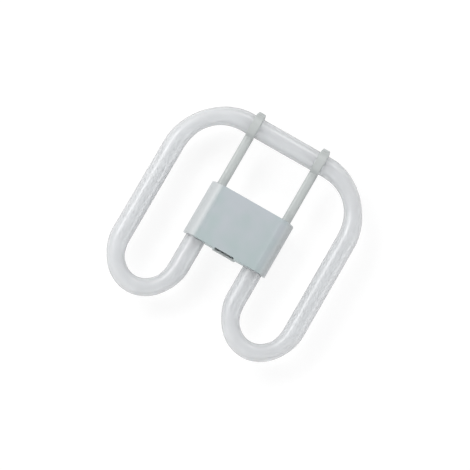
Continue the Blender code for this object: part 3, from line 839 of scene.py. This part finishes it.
@dataclass(frozen=True)
class CapHousing:
    """The two mouldings of the cap: the front cover and the rear body with its plug."""

    datum: Datum
    arms: Sequence[SupportArm]
    gap: float = 0.0003
    sleeve_wall: float = 0.0019
    wall: float = 0.0016
    partition: float = 0.0012
    rim_rounding: float = 0.0007
    lip_rounding: float = 0.0004
    lip_steps: int = 6
    panel_width: float = 0.039
    panel_recess: float = 0.0002
    panel_edge: float = 0.0032
    panel_steps: int = 8
    gallery_start: float = 0.0006
    gallery_wall: float = 0.0021
    latch_width: float = 0.0136
    latch_depth: float = 0.007
    latch_front_wall: float = 0.0012
    latch_notch: float = 0.0007
    lip_reach: float = 0.0007
    lip_thickness: float = 0.0013
    lip_depth: float = 0.0013
    lip_slope: float = 22.0
    lip_edge_steps: int = 5
    lip_foot_steps: int = 3
    plug_side_margin: float = 0.00365
    plug_end_margin: float = 0.0018
    plug_corner: float = 0.003
    plug_wall: float = 0.0022
    recess_depth: float = 0.009
    key_width: float = 0.003
    key_reach: float = 0.0014
    divider_width: float = 0.0028
    divider_length: float = 0.013
    pin_spacing: float = 0.008
    pin_hole_radius: float = 0.0015
    pin_well_radius: float = 0.0023
    pin_counterbore: float = 0.0004
    overrun: float = 0.004

    @property
    def seat_radius(self) -> float:
        """Radius of the seats that the tube's legs lie in."""
        return self.datum.sleeve_radius - self.sleeve_wall

    @property
    def cavity_top(self) -> float:
        """Half the length of the inner space."""
        return self.datum.body_top - self.wall

    @property
    def cavity_half_width(self) -> float:
        """Half the width of the inner space, between the tube seats."""
        return self.datum.leg_x - self.seat_radius - self.partition

    @property
    def floor_z(self) -> float:
        """Height of the cap's inner floor."""
        return self.datum.tube_z - self.datum.sleeve_radius + self.wall

    @property
    def cover_inner_z(self) -> float:
        """Height of the cover's inner face."""
        return self.datum.depth - self.panel_recess - self.wall

    @property
    def pocket_top(self) -> float:
        """Where the latch pocket's inner wall ends."""
        return -self.datum.cap_top + self.latch_depth + self.partition

    def _mouth_profile(self) -> list[tuple[float, float]]:
        """Give the seat's radius from past its flared lower end to inside the cap."""
        mouth = -self.datum.cap_top
        turn = np.radians(np.linspace(0, 90, self.lip_steps + 1))
        flare = [(self.seat_radius + self.lip_rounding * (1 - math.sin(a)),
                  mouth + self.lip_rounding * (1 - math.cos(a))) for a in turn]
        return [(self.seat_radius + self.lip_rounding, mouth - self.overrun), *flare,
                (self.seat_radius, self.cavity_top)]

    def _hollows(self) -> list[Mesh]:
        """Make the spaces that both mouldings share: for the gear, the tube, the arms and the wires."""
        d = self.datum
        hollows = [block("inner_space", (-self.cavity_half_width, -self.cavity_top, self.floor_z),
                         (self.cavity_half_width, self.cavity_top, self.cover_inner_z))]
        for arm in self.arms:
            seat = (arm.side.value * d.leg_x, 0, d.tube_z)
            half_width = arm.width / 2 + self.gap
            half_depth = arm.depth / 2 + self.gap
            hollows += [turned("seat_" + arm.side.label, self._mouth_profile(), seat, Axis.Y),
                        block("arm_slot_" + arm.side.label,
                              (arm.x - half_width, self.cavity_top - arm.foot_thickness,
                               d.tube_z - half_depth),
                              (arm.x + half_width, d.cap_top + self.overrun, d.tube_z + half_depth))]
        rise = self.seat_radius - self.partition / 2
        hollows.append(block("gallery", (-d.leg_x, d.tip_y + self.gallery_start, d.tube_z - rise),
                             (d.leg_x, d.body_top - self.gallery_wall, d.tube_z + rise)))
        return hollows

    def _half(self, name: str, top: float, keep_above: bool) -> Piece:
        """Make one half of the rounded bar that both mouldings are parts of.

        Args:
            name: The piece's name.
            top: Half the bar's length.
            keep_above: True for the half in front of the parting plane.

        Returns:
            The half bar, not yet hollowed.
        """
        d = self.datum
        bar = rounded_bar(name, stadium(d.leg_x, d.sleeve_radius), -top, top, Axis.Y, (0, d.tube_z),
                          self.rim_rounding)
        reach = d.leg_x + d.sleeve_radius + self.overrun
        end = d.cap_top + self.overrun
        near = d.tube_z + (self.gap / 2 if keep_above else -self.gap / 2)
        far = -self.overrun if keep_above else d.depth + self.overrun
        return Piece(name, bar).cut(block("parting", (-reach, -end, near), (reach, end, far)))

    def _panel_cutter(self) -> Mesh:
        """Make the shallow cut of the front panel, whose two long edges rise in an eased slope.

        Across the cap the cut's lower side is the panel's height plus the recess times an eased share
        of the distance past each edge.
        """
        d = self.datum
        half = self.panel_width / 2
        x = np.linspace(half, half + self.panel_edge, self.panel_steps + 1)
        rise = d.depth - self.panel_recess * (1 - ease((x - half) / self.panel_edge))
        edge = np.column_stack([x, rise])
        over = d.depth + self.overrun
        points = np.vstack([edge[::-1] * (-1, 1), edge, [(x[-1], over), (-x[-1], over)]])
        end = d.cap_top + self.overrun
        return rounded_bar("panel_recess", lambda inset: points, -end, end, Axis.Y)

    def build_cover(self) -> Piece:
        """Mould the front cover, with its flat panel and its latch pocket."""
        d = self.datum
        half = self.latch_width / 2
        front_z = d.depth - self.panel_recess - self.latch_front_wall
        low_z = d.tube_z - self.overrun
        past = -d.cap_top - self.overrun
        pocket = block("latch_pocket", (-half - self.partition, -self.cavity_top - self.wall / 2,
                                        d.tube_z + self.gap / 2),
                       (half + self.partition, self.pocket_top, self.cover_inner_z + self.wall / 2))
        section = rounded_rectangle(self.latch_width, 2 * (front_z - low_z), SMALL_CORNER)
        mouth = rounded_bar("latch_mouth", section, past, self.pocket_top - self.partition, Axis.Y,
                            (0, low_z))
        section = rounded_rectangle(self.latch_width, 2 * self.overrun, SMALL_CORNER)
        notch = rounded_bar("latch_notch", section, front_z - self.latch_front_wall,
                            d.depth + self.overrun, Axis.Z, (0, self.latch_notch + past))
        cover = self._half("cap_cover_moulding", d.cap_top, True)
        cover.cut(*self._hollows(), self._panel_cutter()).join(pocket).cut(mouth, notch)
        return cover.settle().shade(CREASE)

    def _latch_well(self) -> tuple[Mesh, Mesh]:
        """Make the latch well's wall and its hollow: a short round-edged lip over a sloping wall.

        Returns:
            The solid to join and the solid to cut, both carried across the cap.
        """
        d = self.datum
        parting = d.tube_z - self.gap / 2
        lip = -d.cap_top - self.lip_reach
        knee = parting - self.lip_depth
        back = self.pocket_top - self.partition
        bottom = self.floor_z - self.partition
        r = self.lip_rounding
        outer = np.vstack([[(self.pocket_top, parting)],
                           arc((lip + r, parting - r), r, 90, 180, self.lip_edge_steps),
                           arc((lip + r, knee + r), r, 180, 180 + self.lip_slope, self.lip_foot_steps),
                           [(self.wall / 2 - d.body_top, bottom), (self.pocket_top, bottom)]])
        over = parting + self.overrun
        inside = lip + self.lip_thickness
        inner = np.array([(back, over), (inside, over), (inside, knee),
                          (self.wall - d.body_top, self.floor_z), (back, self.floor_z)])
        half = self.latch_width / 2
        return (rounded_bar("latch_well_wall", lambda inset: outer, -half - self.partition,
                            half + self.partition, Axis.X),
                rounded_bar("latch_well", lambda inset: inner, -half, half, Axis.X))

    def build_body(self) -> Piece:
        """Mould the rear body, with its plug, keyed recess, blade, pin holes and latch well."""
        d = self.datum
        web_z = d.tube_z - d.sleeve_radius
        width = 2 * (d.leg_x - self.plug_side_margin)
        height = 2 * (d.body_top - self.plug_end_margin)
        section = rounded_rectangle(width, height, self.plug_corner)
        plug = rounded_bar("plug", section, 0, web_z + self.wall / 2, Axis.Z, rounding=self.lip_rounding)
        section = rounded_rectangle(width - 2 * self.plug_wall, height - 2 * self.plug_wall,
                                    self.plug_corner - self.plug_wall / 2)
        recess = rounded_bar("pin_recess", section, -self.overrun, self.recess_depth, Axis.Z,
                             rounding=self.lip_rounding)
        inner = height / 2 - self.plug_wall
        root_z = self.recess_depth + self.key_reach
        keys = [block("key_rib", (-self.key_width / 2, edge * (inner + self.plug_wall / 2), self.key_reach),
                      (self.key_width / 2, edge * (inner - self.key_reach), root_z)) for edge in (1, -1)]
        section = rounded_rectangle(self.divider_width, self.divider_length, SMALL_CORNER)
        blade = rounded_bar("blade", section, 0, root_z, Axis.Z, rounding=self.lip_rounding)
        well_wall, well = self._latch_well()
        holes = []
        for side in Side:
            centre = (side.value * self.pin_spacing / 2, 0, 0)
            for radius, low in ((self.pin_hole_radius, self.recess_depth - self.wall),
                                (self.pin_well_radius, self.floor_z - self.pin_counterbore)):
                wall = [(radius, low), (radius, self.floor_z + self.wall)]
                holes.append(turned("pin_hole", wall, centre, Axis.Z, PIN_SIDES))
        body = self._half("cap_body_moulding", d.body_top, False)
        body.join(plug).cut(*self._hollows(), recess).join(*keys, blade, well_wall).cut(well, *holes)
        return body.settle().shade(CREASE)

    def dress(self, cover_finish: MouldedFinish, body_finish: MouldedFinish) -> None:
        """Build both mouldings and give them their plastic."""
        self.build_cover().dress(cover_finish.material(), Slot.COVER, "cap_cover")
        self.build_body().dress(body_finish.material(), Slot.BODY, "cap_body")


@dataclass(frozen=True)
class ContactPin:
    """One of the two brass pins in the plug's recess."""

    side: Side
    neck_length: float = 0.0006
    shank_share: float = 0.6
    bevel_share: float = 0.2
    tip_start: float = 4.0
    tip_steps: int = 10

    def build(self) -> Piece:
        """Turn the pin from its CAD box: a head, a shank and a half-round tip."""
        low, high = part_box("contact_pin_" + self.side.label)
        centre = (low + high) / 2
        head = (high.x - low.x) / 2
        shank = head * self.shank_share
        bevel = shank * self.bevel_share
        turn = np.radians(np.linspace(self.tip_start, 90, self.tip_steps))
        tip = [(shank * math.sin(a), low.z + shank * (1 - math.cos(a))) for a in turn]
        under = high.z - 2 * self.neck_length + bevel
        profile = [*tip, (shank, under), (head - bevel, under), (head, under + bevel),
                   (head, high.z - bevel), (head - bevel, high.z)]
        name = "contact_pin_{}_brass".format(self.side.label)
        return Piece(name, turned(name, profile, (centre.x, centre.y, 0), Axis.Z, PIN_SIDES)).shade(CREASE)

    def dress(self, material: Material) -> None:
        """Build the pin and give it its brass."""
        self.build().dress(material, Slot.PIN, "contact_pin_" + self.side.label)


def finish_starting_gear() -> None:
    """Finish what the cap hides: cement, wires, starter and capacitor, which stay as their CAD nodes."""
    cement = MouldedFinish("capping_cement", (0.56, 0.54, 0.49), tone=0.12, smooth=0.8, rough=0.95,
                           grain_scale=900.0, grain_depth=0.0001).material()
    wire = MetalFinish("lead_wire", (0.72, 0.71, 0.69), (0.5, 0.49, 0.47)).material()
    bottle = MouldedFinish("starter_glass", (0.72, 0.77, 0.79), tone=0.03, smooth=0.05, rough=0.09,
                           grain_depth=0.000004, coat=0.6).material()
    resin = MouldedFinish("capacitor_coating", (0.55, 0.26, 0.07), tone=0.15, smooth=0.22, rough=0.4,
                          flow_scale=300.0, grain_depth=0.00005).material()
    finishes = {"cement_collar_left": cement, "cement_collar_right": cement, "lead_pin_left": wire,
                "lead_pin_right": wire, "lead_starter_left": wire, "lead_starter_right": wire,
                "starter_bottle": bottle, "suppression_capacitor": resin}
    for node, material in finishes.items():
        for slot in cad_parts[node].material_slots:
            slot.material = material
        LOG.info("%s: finished as %s", node, material.name)


@dataclass(frozen=True)
class Softbox:
    """A flat studio light that faces the lamp."""

    name: str
    direction: Triple
    brightness: float
    width: float
    height: float
    distance: float = 1.8

    def place(self, target: Vector) -> None:
        """Hang the light and aim it at the lamp.

        The power in watts is the brightness times pi times the area, so that the face has that radiance.

        Args:
            target: The point that the light faces.
        """
        light = bpy.data.lights.new(self.name, "AREA")
        light.shape = "RECTANGLE"
        light.size = self.width
        light.size_y = self.height
        light.energy = self.brightness * math.pi * self.width * self.height
        obj = into_scene(self.name, light)
        towards = Vector(self.direction).normalized()
        obj.location = target + towards * self.distance
        obj.rotation_euler = towards.to_track_quat("Z", "Y").to_euler()
        obj.visible_camera = False


SOFTBOXES = (Softbox("left_softbox", (-0.667, 0.136, 0.733), 7.35, 1.2, 0.7),
             Softbox("top_softbox", (-0.042, 0.79, 0.61), 5.1, 0.9, 0.6),
             Softbox("right_softbox", (0.947, 0.136, 0.292), 3.75, 0.9, 0.8),
             Softbox("lower_softbox", (-0.042, -0.96, 0.28), 1.6, 0.9, 0.8),
             Softbox("lower_strip", (0.0, -0.72, 0.69), 3.5, 0.9, 0.3),
             Softbox("left_corner_softbox", (-0.62, -0.62, 0.48), 3.5, 0.8, 0.5),
             Softbox("right_corner_softbox", (0.65, -0.60, 0.46), 2.6, 0.8, 0.5))


@dataclass(frozen=True)
class PhotoCamera:
    """The camera of the photograph, as its three axes, its distance and the shift of its frame."""

    turn: Triple = (-0.144, -0.005, -0.5215)
    distance: float = 1.923
    pixels_per_metre: float = 1588.4
    frame_pixels: float = 470.0
    shift_pixels: tuple[float, float] = (-3.365, -5.341)
    sensor: float = 36.0
    clip_end: float = 40.0

    def place(self, target: Vector) -> None:
        """Set the camera at the target plus the distance along its backward axis.

        The lens is the sensor's width times the distance times the pixels in a metre, over the
        picture's width in pixels. The rotation vector turns lamp axes into camera axes, so the
        camera's own matrix is its inverse.

        Args:
            target: The point that the distance is taken from.
        """
        data = bpy.data.cameras.new("photo_camera")
        data.sensor_width = self.sensor
        data.lens = self.sensor * self.distance * self.pixels_per_metre / self.frame_pixels
        data.shift_x = self.shift_pixels[0] / self.frame_pixels
        data.shift_y = self.shift_pixels[1] / self.frame_pixels
        data.clip_end = self.clip_end
        vector = Vector(self.turn)
        axes = Matrix.Rotation(vector.length, 3, vector.normalized()).transposed()
        obj = into_scene("photo_camera", data)
        obj.matrix_world = Matrix.Translation(target + axes.col[2] * self.distance) @ axes.to_4x4()
        bpy.context.scene.camera = obj


@dataclass(frozen=True)
class Studio:
    """Plain pale floor, soft light and the photograph's camera."""

    datum: Datum
    floor_size: float = 12.0
    sky_colour: Colour = (0.985, 0.995, 1.0)
    sky_strength: float = 0.1
    floor_albedo: float = 0.8
    floor_glow: float = 0.86
    floor_share: float = 0.2

    @staticmethod
    def _seen_directly(g: Graph) -> NodeSocket:
        """Give 1 on rays from the camera, from gloss and through glass, and otherwise 0."""
        path = g.node("ShaderNodeLightPath").outputs
        seen = g.math("MAXIMUM", path["Is Camera Ray"], path["Is Glossy Ray"])
        return g.math("MAXIMUM", seen, path["Is Transmission Ray"])

    def _light_sky(self) -> None:
        """Light the lamp evenly from all round, and show plain white where the sky itself is seen."""
        world = bpy.data.worlds.new("studio_sky")
        world.use_nodes = True
        bpy.context.scene.world = world
        g = Graph(world.node_tree)
        world.node_tree.nodes.clear()
        even = g.node("ShaderNodeBackground", Color=rgba(self.sky_colour), Strength=self.sky_strength)
        white = g.node("ShaderNodeBackground", Color=grey(1.0), Strength=1.0)
        g.node("ShaderNodeOutputWorld", Surface=g.mix(self._seen_directly(g), even, white))

    def _lay_floor(self) -> None:
        """Lay a white floor with a pale shadow: to the eye part diffuse and part a steady white glow."""
        material, g, _ = new_material("studio_floor")
        material.node_tree.nodes.clear()
        plain = g.node("ShaderNodeBsdfDiffuse", Color=grey(self.floor_albedo))
        thin = g.node("ShaderNodeBsdfDiffuse", Color=grey(self.floor_share))
        glow = g.node("ShaderNodeEmission", Color=grey(1.0), Strength=self.floor_glow)
        shown = g.node("ShaderNodeAddShader", thin.outputs[0], glow.outputs[0])
        g.node("ShaderNodeOutputMaterial", Surface=g.mix(self._seen_directly(g), plain, shown))
        half = self.floor_size / 2
        mesh = bpy.data.meshes.new("studio_floor")
        mesh.from_pydata([(-half, -half, 0), (half, -half, 0), (half, half, 0), (-half, half, 0)], [],
                         [(0, 1, 2, 3)])
        mesh.materials.append(material)
        floor = into_scene("studio_floor", mesh)

    def build(self) -> None:
        """Set the view, the light, the floor and the camera."""
        bpy.context.scene.view_settings.view_transform = "Standard"
        target = Vector((0, 0, self.datum.tube_z))
        self._light_sky()
        self._lay_floor()
        for softbox in SOFTBOXES:
            softbox.place(target)
        PhotoCamera().place(target)
        LOG.info("studio: %d soft lights, white floor and the photograph's camera", len(SOFTBOXES))


def main() -> None:
    """Build the sub-assemblies in order and set the studio."""
    logging.basicConfig(level=logging.INFO, format="%(name)s: %(message)s")
    datum = Datum.from_frame()
    DischargeTube(datum).dress(CoatedGlassFinish())
    panel = PanelTint(upper=(0.517, 0.558, 0.592), lower=(0.467, 0.545, 0.553))
    arms = [SupportArm(datum, side) for side in Side]
    CapHousing(datum, arms).dress(MouldedFinish("cover_plastic", (0.60, 0.628, 0.636), panel=panel),
                                  MouldedFinish("body_plastic", (0.74, 0.765, 0.765)))
    arm_material = MouldedFinish("arm_plastic", (0.552, 0.581, 0.574)).material()
    brass = MetalFinish("pin_brass", (0.78, 0.58, 0.28), (0.6, 0.42, 0.2)).material()
    for arm in arms:
        arm.dress(arm_material)
        ContactPin(arm.side).dress(brass)
    finish_starting_gear()
    Studio(datum).build()


if __name__ == "__main__":
    main()
